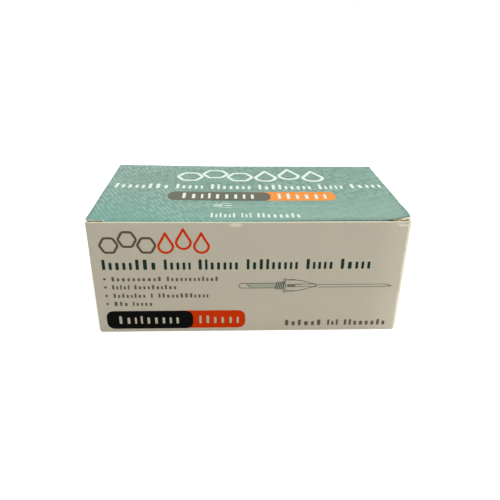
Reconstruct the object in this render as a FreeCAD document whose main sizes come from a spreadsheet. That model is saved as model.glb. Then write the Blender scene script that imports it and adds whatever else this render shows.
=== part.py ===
import FreeCAD, Part
import os
import re

import Sketcher

# Folding carton with a tuck lid, packed with cased needles. Millimetres and degrees.
# The origin is the middle of the base, the front wall faces -Y and +Z is up.

# Driving sizes: name, value and what it is
SIZES = [
    ("board", "0.45", "thickness of the folded board"),
    ("crease_radius", "0.8", "outer radius of a folded crease"),
    ("case_width", "8.8", "widest size across one needle case"),
    ("case_length", "76", "length of one needle case"),
    ("case_gap", "0.3", "play between neighbouring cases"),
    ("cap_length", "24", "length of the case's rear cap"),
    ("cap_end_width", "7.8", "width of the rear cap at its closed end"),
    ("sheath_root_width", "7.7", "width of the front sheath where it enters the cap"),
    ("sheath_tip_width", "6.4", "width of the front sheath at its closed end"),
    ("case_sides", "10", "flats around a case"),
    ("needles_per_layer", "16", "cases in a full layer, one fewer in the nested ones"),
    ("needle_layers", "7", "layers of cases"),
    ("needles_on_top", "7", "cases in the last layer"),
    ("side_play", "0.9", "room between the outer cases and a side wall"),
    ("back_play", "1.2", "room behind the cases"),
    ("front_play", "3.9", "room before the cases, where the tuck flap goes down"),
    ("floor_play", "0.1", "room under the lowest cases"),
    ("head_room", "1.915", "room between the last layer and the dust flaps"),
    ("fold_gap", "0.1", "air between the dust flaps and the lid"),
    ("wall_drop", "0.15", "step from the lid's top down to the front wall's cut edge"),
    ("dust_flap_reach", "48", "length of a dust flap from its side wall"),
    ("dust_flap_corner", "7", "cut corner at a dust flap's free end"),
    ("dust_flap_taper", "1.5", "how far a dust flap's back edge runs in"),
    ("dust_flap_setback", "2", "step that lets the tuck flap pass a dust flap"),
    ("floor_flap_reach", "38", "length of a side flap in the bottom"),
    ("floor_flap_corner", "26", "slanted edge of a side flap in the bottom"),
    ("seam_reach", "9", "how far each bottom panel hooks past the middle"),
    ("seam_slant", "16", "half width of the bottom seam's slanted run"),
    ("seam_gap", "0.4", "gap along the bottom seam"),
    ("glue_flap_width", "14", "width of the glued flap in the back corner"),
    ("glue_flap_taper", "5", "slanted end of the glued flap"),
    ("glue_flap_inset", "3", "distance of the glued flap from the creases above and below"),
    ("lid_side_gap", "0.15", "how far the lid's cut sides stand in from the side walls"),
    ("lid_front_gap", "0.2", "gap between the lid's front crease and the front wall"),
    ("ear_width", "8", "width of the slit-lock ear at each end of the tuck flap"),
    ("ear_setback", "0.35", "how far an ear's cut edge stands behind the front crease"),
    ("slit_gap", "0.3", "gap between the tuck flap and the parts beside its ends"),
    ("tuck_depth", "15", "depth of the tuck flap"),
    ("tuck_lean", "7", "degrees that the tuck flap leans in from the front wall"),
    ("tuck_corner", "9", "radius of the tuck flap's free corners"),
    ("bent_ear_reach", "9", "length of the bent corner along the lid's edges"),
    ("bent_ear_angle", "18", "degrees that the right ear is bent up"),
    ("hinge_round", "0.4", "rounding of the lid's back crease"),
]

# Sizes that follow from them: name and expression
DERIVED = [
    ("case_pitch", "case_width + case_gap"),
    ("layer_rise", "case_pitch * sin(60deg)"),
    ("inner_width", "needles_per_layer * case_pitch - case_gap + 2 * side_play"),
    ("inner_depth", "front_play + case_length + back_play"),
    ("half_width", "inner_width / 2 + board"),
    ("half_depth", "inner_depth / 2 + board"),
    ("wall_length", "2 * (half_width - crease_radius)"),
    ("side_length", "2 * (half_depth - crease_radius)"),
    ("inner_round", "crease_radius - board"),
    ("stack_base", "2 * board + floor_play"),
    ("stack_height", "(needle_layers - 1) * layer_rise + case_width"),
    ("side_top", "stack_base + stack_height + head_room + board"),
    ("lid_base", "side_top + fold_gap"),
    ("lid_top", "lid_base + board"),
    ("front_top", "lid_top - wall_drop"),
    ("lid_front", "lid_front_gap + board - half_depth"),
    ("ear_front", "lid_front + ear_setback"),
    ("lid_side", "half_width - lid_side_gap"),
    ("tuck_half_width", "half_width - ear_width - slit_gap"),
]

doc = FreeCAD.newDocument("NeedleCarton")

sheet = doc.addObject("Spreadsheet::Sheet", "Sizes")
for row, (name, value, meaning) in enumerate(SIZES, start=1):
    sheet.set(f"A{row}", name)
    sheet.set(f"B{row}", value)
    sheet.setAlias(f"B{row}", name)
    sheet.set(f"C{row}", meaning)
doc.recompute()

OWNERS = {name: "Sizes" for name, _, _ in SIZES}


def bound(expression):
    """The expression with each size's name given its owner, as the document wants it."""
    def with_owner(match):
        name = match.group()
        return f"{OWNERS[name]}.{name}" if name in OWNERS else name
    return re.sub(r"[a-z_]+", with_owner, str(expression))


derived = doc.addObject("App::VarSet", "Derived")
for name, expression in DERIVED:
    derived.addProperty("App::PropertyFloat", name)
    derived.setExpression(name, bound(expression))
    OWNERS[name] = "Derived"
doc.recompute()


def number(expression):
    """The expression's present value as a plain number."""
    return float(derived.evalExpression(bound(expression)))


def new_body(name):
    """A body that may be in several pieces while it is being built."""
    body = doc.addObject("PartDesign::Body", name)
    body.AllowCompound = True
    return body


def outline(body, name, plane, corners, level="0"):
    """A closed sketch of straight edges on one of the body's planes.

    Each corner is a pair of expressions, bound to its distances from the plane's origin.
    """
    sketch = body.newObject("Sketcher::SketchObject", name)
    origin_plane = next(item for item in body.Origin.OriginFeatures if item.Role == plane)
    sketch.AttachmentSupport = (origin_plane, "")
    sketch.MapMode = "FlatFace"
    sketch.setExpression(".AttachmentOffset.Base.z", bound(level))
    places = [FreeCAD.Vector(number(across), number(along), 0) for across, along in corners]
    for start, end in zip(places, places[1:] + places[:1]):
        sketch.addGeometry(Part.LineSegment(start, end), False)
    for index, (across, along) in enumerate(corners):
        following = (index + 1) % len(corners)
        sketch.addConstraint(Sketcher.Constraint("Coincident", index, 2, following, 1))
        for direction, expression, place in (
            ("DistanceX", across, places[index].x),
            ("DistanceY", along, places[index].y),
        ):
            item = sketch.addConstraint(
                Sketcher.Constraint(direction, -1, 1, index, 1, place)
            )
            sketch.setExpression(f"Constraints[{item}]", bound(expression))
    return sketch


def pad(body, name, sketch, length, symmetric=False):
    """The sketch given the stated length, to one side or about its plane."""
    feature = body.newObject("PartDesign::Pad", name)
    feature.Profile = sketch
    feature.SideType = "Symmetric" if symmetric else "One side"
    feature.setExpression("Length", bound(length))
    doc.recompute()
    return feature


def pocket(body, name, sketch, depth):
    """The sketch cut both ways from its plane, over the stated depth in all."""
    volume = body.Shape.Volume
    feature = body.newObject("PartDesign::Pocket", name)
    feature.Profile = sketch
    feature.SideType = "Symmetric"
    feature.setExpression("Length", bound(depth))
    doc.recompute()
    if not feature.Shape.Volume < volume:
        raise RuntimeError(f"{name} cuts nothing")
    return feature


def fillet(body, name, middles, radius):
    """A rounding of the edges whose middles are at the stated places."""
    base = body.Tip
    wanted = [FreeCAD.Vector(*map(number, middle)) for middle in middles]
    names = []
    for index, edge in enumerate(base.Shape.Edges, start=1):
        middle = edge.valueAt((edge.FirstParameter + edge.LastParameter) / 2)
        if any(middle.isEqual(place, 1e-4) for place in wanted):
            names.append(f"Edge{index}")
    if len(names) != len(middles):
        raise RuntimeError(f"{name} found {len(names)} edges of {len(middles)}")
    feature = body.newObject("PartDesign::Fillet", name)
    feature.Base = (base, names)
    feature.setExpression("Radius", bound(radius))
    doc.recompute()
    return feature


def mirrored(name, source, normal):
    """The source's mirror image across the plane through the origin with this normal."""
    mirror = doc.addObject("Part::Mirroring", name)
    mirror.Source = source
    mirror.Normal = normal
    doc.recompute()
    return mirror


def fused(label, pieces):
    """One solid piece from parts that meet face to face."""
    fusion = doc.addObject("Part::MultiFuse", label)
    fusion.Shapes = pieces
    fusion.Refine = True
    fusion.Label = label
    doc.recompute()
    return fusion


def side_strip():
    """The right side wall with its dust flap above and its bottom flap below, as one strip."""
    body = new_body("SideStrip")
    section = outline(body, "SideSection", "XZ_Plane", [
        ("half_width - dust_flap_reach", "side_top"),
        ("half_width", "side_top"),
        ("half_width", "board"),
        ("half_width - floor_flap_reach", "board"),
        ("half_width - floor_flap_reach", "2 * board"),
        ("half_width - board", "2 * board"),
        ("half_width - board", "side_top - board"),
        ("half_width - dust_flap_reach", "side_top - board"),
    ])
    pad(body, "SidePad", section, "side_length", symmetric=True)
    fillet(body, "SideCreases", [
        ("half_width", "0", "side_top"),
        ("half_width", "0", "board"),
    ], "crease_radius")
    fillet(body, "SideInnerCreases", [
        ("half_width - board", "0", "side_top - board"),
        ("half_width - board", "0", "2 * board"),
    ], "inner_round")

    free_end = "half_width - dust_flap_reach"
    shoulder = "half_width - ear_width + slit_gap"
    front_edge = "board + dust_flap_setback - half_depth"
    front_trim = outline(body, "DustFlapFront", "XY_Plane", [
        (shoulder, "-half_depth"),
        (shoulder, front_edge),
        (f"{free_end} + dust_flap_corner", front_edge),
        (free_end, f"{front_edge} + dust_flap_corner"),
        (f"{free_end} - board", f"{front_edge} + dust_flap_corner"),
        (f"{free_end} - board", "-half_depth"),
    ], level="side_top")
    pocket(body, "DustFlapFrontCut", front_trim, "4 * board")
    back_edge = "half_depth - crease_radius - dust_flap_taper"
    back_trim = outline(body, "DustFlapBack", "XY_Plane", [
        ("half_width - 2 * crease_radius", "half_depth"),
        ("half_width - 2 * crease_radius", "half_depth - crease_radius - board"),
        (f"{free_end} + dust_flap_corner", back_edge),
        (free_end, f"{back_edge} - dust_flap_corner"),
        (f"{free_end} - board", f"{back_edge} - dust_flap_corner"),
        (f"{free_end} - board", "half_depth"),
    ], level="side_top")
    pocket(body, "DustFlapBackCut", back_trim, "4 * board")

    for name, side in (("Front", "-1"), ("Back", "1")):
        slant = outline(body, f"FloorFlap{name}", "XY_Plane", [
            ("half_width - 2 * crease_radius", f"{side} * half_depth"),
            ("half_width - 2 * crease_radius", f"{side} * (half_depth - crease_radius - board)"),
            ("half_width - floor_flap_reach", f"{side} * (half_depth - floor_flap_corner)"),
            ("half_width - floor_flap_reach - board", f"{side} * (half_depth - floor_flap_corner)"),
            ("half_width - floor_flap_reach - board", f"{side} * half_depth"),
        ], level="1.5 * board")
        pocket(body, f"FloorFlap{name}Cut", slant, "3 * board")
    return body


def wall_strip(name, wall_top):
    """The front wall with its half of the bottom, which hooks into the other half."""
    body = new_body(f"{name}Strip")
    section = outline(body, f"{name}Section", "YZ_Plane", [
        ("-half_depth", wall_top),
        ("-half_depth", "0"),
        ("seam_reach", "0"),
        ("seam_reach", "board"),
        ("board - half_depth", "board"),
        ("board - half_depth", wall_top),
    ])
    pad(body, f"{name}Pad", section, "wall_length", symmetric=True)
    fillet(body, f"{name}Crease", [("0", "-half_depth", "0")], "crease_radius")
    fillet(body, f"{name}InnerCrease", [("0", "board - half_depth", "board")], "inner_round")
    seam = outline(body, f"{name}Seam", "XY_Plane", [
        ("-half_width", "seam_reach - seam_gap / 2"),
        ("-seam_slant", "seam_reach - seam_gap / 2"),
        ("seam_slant", "-seam_reach - seam_gap / 2"),
        ("half_width", "-seam_reach - seam_gap / 2"),
        ("half_width", "seam_reach + board"),
        ("-half_width", "seam_reach + board"),
    ])
    pocket(body, f"{name}SeamCut", seam, "3 * board")
    return body


def corner_creases():
    """The four upright creases: quarter rings that join the walls."""
    creases = []
    for index, (across, along, turn) in enumerate((
        ("1", "1", 0), ("-1", "1", 90), ("-1", "-1", 180), ("1", "-1", 270),
    )):
        rings = []
        for part, radius in (("Outer", "crease_radius"), ("Inner", "inner_round")):
            ring = doc.addObject("Part::Cylinder", f"Crease{part}{index}")
            ring.setExpression("Radius", bound(radius))
            ring.setExpression("Height", bound("side_top - crease_radius"))
            ring.Angle = 90
            ring.Placement.Rotation = FreeCAD.Rotation(FreeCAD.Vector(0, 0, 1), turn)
            place = ".Placement.Base."
            ring.setExpression(place + "x", bound(f"{across} * (half_width - crease_radius)"))
            ring.setExpression(place + "y", bound(f"{along} * (half_depth - crease_radius)"))
            ring.setExpression(place + "z", bound("crease_radius"))
            rings.append(ring)
        crease = doc.addObject("Part::Cut", f"Crease{index}")
        crease.Base, crease.Tool = rings
        creases.append(crease)
    doc.recompute()
    return creases


def glue_flap():
    """The flap from the right side wall, glued to the back wall's inner face."""
    body = new_body("GlueFlap")
    root = "half_width - board - inner_round"
    tip = "half_width - board - glue_flap_width"
    low = "2 * board + glue_flap_inset"
    high = "side_top - board - glue_flap_inset"
    section = outline(body, "GlueFlapOutline", "XZ_Plane", [
        (root, low),
        (root, high),
        (tip, f"{high} - glue_flap_taper"),
        (tip, f"{low} + glue_flap_taper"),
    ], level="board - half_depth")
    pad(body, "GlueFlapPad", section, "board")
    return body


def lid_panel():
    """The top panel, with the ears at its front corners and its back crease."""
    body = new_body("LidPanel")
    plan = outline(body, "LidPlan", "XY_Plane", [
        ("-lid_side", "ear_front"),
        ("lid_side - bent_ear_reach", "ear_front"),
        ("lid_side", "ear_front + bent_ear_reach"),
        ("lid_side", "half_depth"),
        ("-lid_side", "half_depth"),
    ], level="lid_base")
    pad(body, "LidPad", plan, "board")
    fillet(body, "HingeCrease", [("0", "half_depth", "lid_top")], "hinge_round")
    return body


def tuck_strip():
    """The tuck flap with its crease and a margin of the top panel."""
    body = new_body("TuckStrip")
    lean_sine = "sin(tuck_lean * 1deg)"
    lean_cosine = "cos(tuck_lean * 1deg)"
    margin = "lid_front + ear_width"
    tip = (f"lid_front + tuck_depth * {lean_sine}", f"lid_top - tuck_depth * {lean_cosine}")
    inner_tip = (f"{tip[0]} + board * {lean_cosine}", f"{tip[1]} + board * {lean_sine}")
    inner_crease = (
        f"lid_front + board * {lean_cosine} + board * (1 + {lean_sine}) * tan(tuck_lean * 1deg)",
        "lid_base",
    )
    section = outline(body, "TuckSection", "YZ_Plane", [
        (margin, "lid_top"),
        ("lid_front", "lid_top"),
        tip,
        inner_tip,
        inner_crease,
        (margin, "lid_base"),
    ])
    pad(body, "TuckPad", section, "2 * tuck_half_width", symmetric=True)
    fillet(body, "TuckCrease", [("0", "lid_front", "lid_top")], "crease_radius")
    fillet(body, "TuckInnerCrease", [("0", *inner_crease)], "inner_round")
    middle = [f"({outer} + {inner}) / 2" for outer, inner in zip(tip, inner_tip)]
    fillet(body, "TuckCorners", [
        ("tuck_half_width", *middle),
        ("-tuck_half_width", *middle),
    ], "tuck_corner")
    return body


def bent_ear():
    """The lid's right front corner, bent up about the slanted line across it."""
    body = new_body("BentEar")
    plan = outline(body, "BentEarPlan", "XY_Plane", [
        ("0", "0"),
        ("bent_ear_reach * sqrt(2)", "0"),
        ("bent_ear_reach / sqrt(2)", "-bent_ear_reach / sqrt(2)"),
    ])
    pad(body, "BentEarPad", plan, "board")
    across = FreeCAD.Rotation(FreeCAD.Vector(0, 0, 1), 45)
    upward = FreeCAD.Rotation(FreeCAD.Vector(1, 0, 0), -number("bent_ear_angle"))
    start = ("lid_side - bent_ear_reach", "ear_front", "lid_base")
    body.Placement = FreeCAD.Placement(
        FreeCAD.Vector(*map(number, start)), across.multiply(upward)
    )
    return body


def tapered_case(name, first, last):
    """A closed prism between two stations along Y, each a place and a width."""
    sections = []
    for end, (place, width) in (("Front", first), ("Back", last)):
        section = doc.addObject("Part::RegularPolygon", f"{name}{end}")
        section.setExpression("Polygon", bound("case_sides"))
        section.setExpression("Circumradius", bound(f"({width}) / 2"))
        section.Placement.Rotation = FreeCAD.Rotation(FreeCAD.Vector(1, 0, 0), 90)
        section.setExpression(".Placement.Base.y", bound(place))
        sections.append(section)
    loft = doc.addObject("Part::Loft", name)
    loft.Sections = sections
    loft.Solid = True
    loft.Ruled = True
    doc.recompute()
    return loft


def needle_case():
    """One sealed needle case: a tapering front sheath that stands in a wider rear cap."""
    front = "board + front_play - half_depth"
    joint = f"{front} + case_length - cap_length"
    sheath = tapered_case("Sheath", (front, "sheath_tip_width"), (joint, "sheath_root_width"))
    cap = tapered_case(
        "Cap", (joint, "case_width"), (f"{front} + case_length", "cap_end_width")
    )
    return fused("NeedleCase", [sheath, cap])


def needle_layer(index, case):
    """A layer of separate cases, shifted by half a pitch in every second layer."""
    layers = round(number("needle_layers"))
    nested = index % 2
    count = round(number("needles_per_layer")) - nested
    if index == layers - 1:
        count = min(count, round(number("needles_on_top")))
    left = number("case_width / 2 + board + side_play - half_width")
    height = number("stack_base + case_width / 2") + index * number("layer_rise")
    shapes = []
    for place in range(count):
        shape = case.Shape.copy()
        across = left + (place + nested / 2) * number("case_pitch")
        shape.translate(FreeCAD.Vector(across, 0, height))
        shapes.append(shape)
    layer = doc.addObject("Part::Feature", f"needles_layer_{index + 1}")
    layer.Shape = Part.makeCompound(shapes)
    layer.Placement = FreeCAD.Placement()
    layer.Label = f"needles_layer_{index + 1}"
    return layer


right_strip = side_strip()
back_strip = wall_strip("Back", "side_top")
back_strip.Placement.Rotation = FreeCAD.Rotation(FreeCAD.Vector(0, 0, 1), 180)
carton = fused("carton", [
    wall_strip("Front", "front_top"),
    back_strip,
    right_strip,
    mirrored("LeftStrip", right_strip, FreeCAD.Vector(1, 0, 0)),
    *corner_creases(),
    glue_flap(),
])
lid = fused("lid", [lid_panel(), tuck_strip(), bent_ear()])

case = needle_case()
layers = [needle_layer(index, case) for index in range(round(number("needle_layers")))]
sub_parts = [carton, lid, *layers]
doc.recompute()

for item in doc.Objects:
    if "Invalid" in item.State or "Error" in item.State:
        raise RuntimeError(f"{item.Name} failed: {item.State}")
for part in sub_parts:
    if part.Shape.isNull() or not part.Shape.isValid():
        raise RuntimeError(f"{part.Label} has no valid shape")

os.makedirs("parts", exist_ok=True)
for part in sub_parts:
    part.Shape.exportStep(os.path.join("parts", f"{part.Label}.step"))
    box = part.Shape.BoundBox
    print(part.Label, len(part.Shape.Solids), "solids", round(part.Shape.Volume, 1), "mm3",
          [round(value, 2) for value in (box.XMin, box.YMin, box.ZMin, box.XMax, box.YMax, box.ZMax)])
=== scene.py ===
import functools
import math
import random

import bmesh
import bpy
from bpy.props import FloatProperty, FloatVectorProperty, IntProperty, PointerProperty
from mathutils import Matrix, Vector


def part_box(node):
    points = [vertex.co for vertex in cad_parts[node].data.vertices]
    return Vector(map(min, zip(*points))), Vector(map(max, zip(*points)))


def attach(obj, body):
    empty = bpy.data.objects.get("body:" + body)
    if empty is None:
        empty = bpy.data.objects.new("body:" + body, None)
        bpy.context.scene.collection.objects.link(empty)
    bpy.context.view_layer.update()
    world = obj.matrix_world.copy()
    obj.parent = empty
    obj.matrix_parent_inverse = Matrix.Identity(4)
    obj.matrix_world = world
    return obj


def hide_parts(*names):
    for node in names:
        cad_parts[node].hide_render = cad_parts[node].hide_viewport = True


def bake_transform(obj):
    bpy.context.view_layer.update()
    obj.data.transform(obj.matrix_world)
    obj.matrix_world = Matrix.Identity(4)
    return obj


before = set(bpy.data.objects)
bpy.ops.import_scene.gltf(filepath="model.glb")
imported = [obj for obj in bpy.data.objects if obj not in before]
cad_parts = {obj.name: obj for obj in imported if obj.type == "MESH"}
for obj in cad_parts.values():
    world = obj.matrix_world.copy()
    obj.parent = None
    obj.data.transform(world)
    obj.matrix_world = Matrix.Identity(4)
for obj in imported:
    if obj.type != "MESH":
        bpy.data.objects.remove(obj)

bl_info = {
    "name": "Needle Carton",
    "version": (1, 0, 0),
    "blender": (4, 5, 0),
    "location": "View3D > Sidebar > Carton",
    "description": "Dresses a folding carton of cased needles with its board, print and contents",
    "category": "Add Mesh",
}

MM = 0.001
# Distances that count as none: between two places, and in a cut
SLACK = 0.01 * MM
SAME_PLACE = 1e-7
# Places of the inside and the cut edge among a board piece's materials
INSIDE, CUT_EDGE = 1, 2
_, CARTON_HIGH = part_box("carton")
LID_LOW, LID_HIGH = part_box("lid")
NEEDLE_LAYERS = sorted(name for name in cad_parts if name.startswith("needles_layer_"))


def srgb(red, green, blue):
    """A colour given as it looks on screen, 0 to 255, in the linear values that shaders take."""
    def linear(value):
        value /= 255
        return value / 12.92 if value <= 0.04045 else ((value + 0.055) / 1.055) ** 2.4
    return (linear(red), linear(green), linear(blue))


def length(name, description, default):
    """A length that a user may change."""
    return FloatProperty(name=name, description=description, default=default, unit="LENGTH",
                         precision=5)


def colour(name, description, default):
    """A colour that a user may change."""
    return FloatVectorProperty(name=name, description=description, default=default,
                               subtype="COLOR", size=3, min=0.0, max=1.0)


class CartonSizes(bpy.types.PropertyGroup):
    """Sizes of the carton, its wear and its contents."""
    half_width: length("Half width", "Middle to a side wall's face", CARTON_HIGH.x)
    half_depth: length("Half depth", "Middle to the front wall's face", CARTON_HIGH.y)
    front_top: length("Front top", "Height of the front wall's cut edge", CARTON_HIGH.z)
    board: length("Board", "Thickness of the folded board", 0.45 * MM)
    crease: length("Crease", "Outer radius of a fold", 0.8 * MM)
    lid_top: length("Lid top", "Height of the lid's upper face", CARTON_HIGH.z + 0.15 * MM)
    side_top: length("Side top", "Height of the dust flaps' upper face", CARTON_HIGH.z - 0.4 * MM)
    dust_flap: length("Dust flap", "Reach of a dust flap from its side wall", 48 * MM)
    floor_flap: length("Floor flap", "Reach of a side flap in the bottom", 38 * MM)
    glue_flap: length("Glue flap", "Width of the flap glued inside the back wall", 14 * MM)
    seam_reach: length("Seam reach", "How far each bottom panel hooks past the middle", 9 * MM)
    seam_slant: length("Seam slant", "Half width of the bottom seam's slanted run", 16 * MM)
    seam_gap: length("Seam gap", "Gap along the bottom seam", 0.4 * MM)
    lid_front: length("Lid front", "Place of the lid's front crease", LID_LOW.y + 0.15 * MM)
    lid_side: length("Lid side", "Middle to the lid's cut side", LID_HIGH.x)
    ear: length("Ear", "Width of the ear at each end of the tuck flap", 8 * MM)
    ear_setback: length("Ear setback", "Step from the front crease to an ear's cut edge", 0.35 * MM)
    tuck_depth: length("Tuck depth", "Depth of the tuck flap", 15 * MM)
    tuck_corner: length("Tuck corner", "Cut of the tuck flap's free corners", 9 * MM)
    tuck_lean: FloatProperty(name="Tuck lean", description="Lean of the tuck flap",
                             default=math.radians(7), subtype="ANGLE")
    hinge_crease: length("Hinge crease", "Outer radius of the lid's back fold", 0.6 * MM)
    ear_curl: FloatProperty(name="Ear curl", description="Slope of the bent right ear",
                            default=math.radians(14.5), subtype="ANGLE")
    ear_curl_length: length("Ear curl length", "How far the bend runs along the side", 16 * MM)
    ink: length("Ink", "How far the print stands off the board", 0.03 * MM)
    case_length: length("Case length", "Length of a needle case", 76 * MM)
    cap_length: length("Cap length", "Length of a case's rear cap", 24 * MM)
    case_width: length("Case width", "Widest size across a case", 8.8 * MM)
    case_steps: IntProperty(name="Case steps", description="Sides of a turned case", default=36)
    lid_sag: length("Lid sag", "How far the lid's middle hangs", 0.5 * MM)
    lid_droop: length("Lid droop", "How far the lid bends down to its front fold", 0.5 * MM)
    lid_lift: length("Lid lift", "How far the lid's right side is bowed up", 1.1 * MM)
    racked: length("Racked corner", "How far the back left corner stands too high", 1.0 * MM)
    ear_puff: length("Ear puff", "Thickness of the bent ear's frayed end", 1.6 * MM)
    edge_chamfer: length("Edge chamfer", "Worn slant along the front's cut edge", 0.32 * MM)
    print_skew: FloatProperty(name="Print skew", description="Turn of the lid's print",
                              default=math.radians(-0.6), subtype="ANGLE")


class CartonColours(bpy.types.PropertyGroup):
    """Colours of the board, the print, the cases and the stage."""
    board: colour("Board", "Varnished outside of the walls", srgb(199, 191, 171))
    # Pale board for rubbed folds, and for the painted light and painted highlights on the front wall
    board_rubbed_and_lit: colour("Worn board", "Rubbed folds", srgb(250, 243, 219))
    joint_shadow: colour("Joint shadow", "Hairline beside the glued joint", srgb(96, 88, 72))
    raw_edge: colour("Raw edge", "Cut edge of the board", srgb(255, 249, 220))
    # Darker plies of soiled cut edges, also used as the painted shade at each ear's root
    soiled_and_shaded_edge: colour("Soiled edge", "Darker plies of the cut edge", srgb(192, 170, 126))
    inside: colour("Inside", "Uncoated inside of the board", srgb(205, 196, 178))
    teal: colour("Teal", "Ground colour of the lid's print", srgb(118, 154, 140))
    teal_left: colour("Left teal", "Ground colour toward the front left", srgb(113, 169, 154))
    # Lighter tone toward the front right: painted light falling from the right
    teal_right: colour("Right teal", "Ground colour toward the front right", srgb(146, 180, 165))
    teal_stroke: colour("Teal strokes", "Strokes of the lid's pattern", srgb(152, 191, 177))
    title: colour("Title ink", "Dark green ink", srgb(30, 54, 46))
    fine: colour("Fine ink", "Grey ink of the small rows", srgb(104, 97, 84))
    mark: colour("Mark ink", "Dark grey ink of the mark", srgb(98, 88, 72))
    drawing: colour("Drawing ink", "Grey-green ink of the drawing", srgb(112, 120, 104))
    drawing_dark: colour("Dark drawing ink", "Ink of the drawn thread", srgb(62, 76, 66))
    drawing_fill: colour("Drawing tint", "Tint inside the drawn sleeve", srgb(172, 176, 155))
    black: colour("Black ink", "Black of the front's size field", srgb(6, 7, 4))
    red: colour("Red ink", "Red of the front's size field", srgb(212, 56, 3))
    lid_grey: colour("Grey ink", "Grey of the lid's size field", srgb(112, 113, 98))
    lid_orange: colour("Orange ink", "Orange of the lid's size field", srgb(254, 157, 66))
    lid_white: colour("White ink", "White of the lid's rows", srgb(238, 252, 244))
    lid_faint: colour("Faint white ink", "Thin lines of the lid's drawing", srgb(176, 207, 194))
    sheath: colour("Sheath", "Front sheath of a needle case", srgb(22, 22, 23))
    cap: colour("Cap", "Rear cap of a needle case", srgb(214, 219, 216))
    label: colour("Label", "Paper band of a needle case", srgb(240, 240, 236))
    seal: colour("Seal", "Lines on a case's paper band", srgb(70, 96, 90))
    floor: colour("Floor", "Pale floor", (0.86, 0.86, 0.86))


def sizes():
    """The scene's sizes."""
    return bpy.context.scene.carton_sizes


def colours():
    """The scene's colours."""
    return bpy.context.scene.carton_colours


# Shape of the board: how its faces bow, sink and curl

WALL_BOW = 0.18 * MM
DENT_MIDDLE = 70.4 * MM
DENT_RIDGE = 57.6 * MM
DENT_CURVE = 110.0
# The dent over its ridge: depths, and the heights over the ridge between which each one grows, in mm
DENT_STEPS = ((0.34, 0, 0.6), (-0.26, 0.8, 1.2), (0.62, 1.2, 2.3))
THUMB_MIDDLE = -6.3 * MM
THUMB_DEPTH = 0.2 * MM
EDGE_TIP = 0.8 * MM
EDGE_DIP = 0.35 * MM
EDGE_SAG = 0.22 * MM
RACK_START = 18 * MM
SHOULDER_DEPTH = 1.3 * MM
LEFT_LIFT = 0.5 * MM
LEFT_EAR_LIFT = 0.7 * MM
LID_CORNER_SHIFT = 0.5 * MM
TUCK_BULGE = 0.6 * MM


def bump(value, centre, reach):
    """1 at the centre, falling smoothly to 0 at the stated reach on both sides."""
    share = min(abs(value - centre) / reach, 1.0)
    return (1 - share * share) ** 2


def ramp(value, start, end):
    """0 before the start and 1 after the end, smooth between them."""
    share = min(max((value - start) / (end - start), 0.0), 1.0)
    return share * share * (3 - 2 * share)


def soft_beyond(distance, soft):
    """The distance where it is positive and nearly 0 where it isn't, with a soft bend between."""
    return (distance + math.sqrt(distance * distance + soft * soft)) / 2


def wall_sink(across, height):
    """How far the front wall's face lies behind its flat place, in metres."""
    bow = -WALL_BOW * bump(across, 0, sizes().half_width) * bump(height, 30 * MM, 32 * MM)
    above = height - DENT_RIDGE - DENT_CURVE * (across - DENT_MIDDLE) ** 2
    dent = sum(depth * ramp(above, low * MM, high * MM) for depth, low, high in DENT_STEPS)
    corner = dent * MM * bump(across, 70 * MM, 4.6 * MM)
    thumb = bump(across, THUMB_MIDDLE, 4.4 * MM) * bump(height, 57.9 * MM, 1.5 * MM)
    return bow + corner + THUMB_DEPTH * thumb


def edge_lift(across):
    """How far the front wall's cut edge stands above its straight line, in metres."""
    return (EDGE_TIP * ramp(across, 72.3 * MM, 73.5 * MM)
            - EDGE_DIP * bump(across, 69.6 * MM, 2.4 * MM)
            - EDGE_SAG * bump(across, -12 * MM, 60 * MM))


def corner_rise(across, along):
    """How far the carton's top is racked upwards at its back left corner, in metres."""
    size = sizes()
    share = soft_beyond(-across - RACK_START, 5 * MM) / (size.half_width - RACK_START)
    return size.racked * share * ramp(along, 14 * MM, 40 * MM)


def shoulder_sink(across, along):
    """How far a dust flap is pressed down under the lid's ear, in metres."""
    size = sizes()
    inwards = size.half_width - abs(across)
    share = ramp(inwards, size.crease, 1.8 * MM) * (1 - ramp(inwards, 7 * MM, 11.5 * MM))
    behind = along + size.half_depth
    return SHOULDER_DEPTH * share * (1 - ramp(behind, 3.5 * MM, 8 * MM))


def front_droop(across, along):
    """How far the lid bends down where it runs into its front fold, in metres."""
    size = sizes()
    reach = 3.2 * MM
    share = min(max((along - size.lid_front - size.crease) / reach, 0.0), 1.0)
    deepest = size.lid_droop * (0.6 + 0.4 * ramp(across, 0, 60 * MM))
    return deepest * (1 - ramp(abs(across), 62 * MM, 65.5 * MM)) * (1 - share) ** 2


def ear_rise(across, along):
    """How far the bent right ear stands up, in metres."""
    size = sizes()
    start = Vector((size.half_width - size.ear, size.lid_front))
    end = Vector((size.lid_side, size.lid_front + size.ear_curl_length))
    bend = (end - start).normalized()
    place = Vector((across, along)) - start
    beyond = soft_beyond(place.x * bend.y - place.y * bend.x, 0.8 * MM)
    furthest = (size.lid_side - start.x) * bend.y
    share = min(beyond / furthest, 1.0)
    highest = math.tan(size.ear_curl) * furthest
    return highest * share * (1.4 - 0.4 * share) * ramp(across, 62 * MM, 67 * MM)


def lid_rise(across, along):
    """How far the lid's face lies above its flat place, in metres."""
    size = sizes()
    behind_front = ramp(along, size.lid_front, size.lid_front + 14 * MM)
    sag = size.lid_sag * bump(across, 10 * MM, 66 * MM) * bump(along, 0, size.half_depth)
    right = size.lid_lift * ramp(across, 36 * MM, 72 * MM) * (1 - ramp(along, -16 * MM, 32 * MM))
    left = LEFT_LIFT * ramp(-across, 50 * MM, 72 * MM) * (1 - ramp(along, -4 * MM, 36 * MM))
    left_ear = LEFT_EAR_LIFT * ramp(-across, 67.5 * MM, 72 * MM) * (1 - behind_front)
    return (ear_rise(across, along) + (right + left) * behind_front + left_ear
            + corner_rise(across, along) - sag - front_droop(across, along))


# Mesh tools

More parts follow.
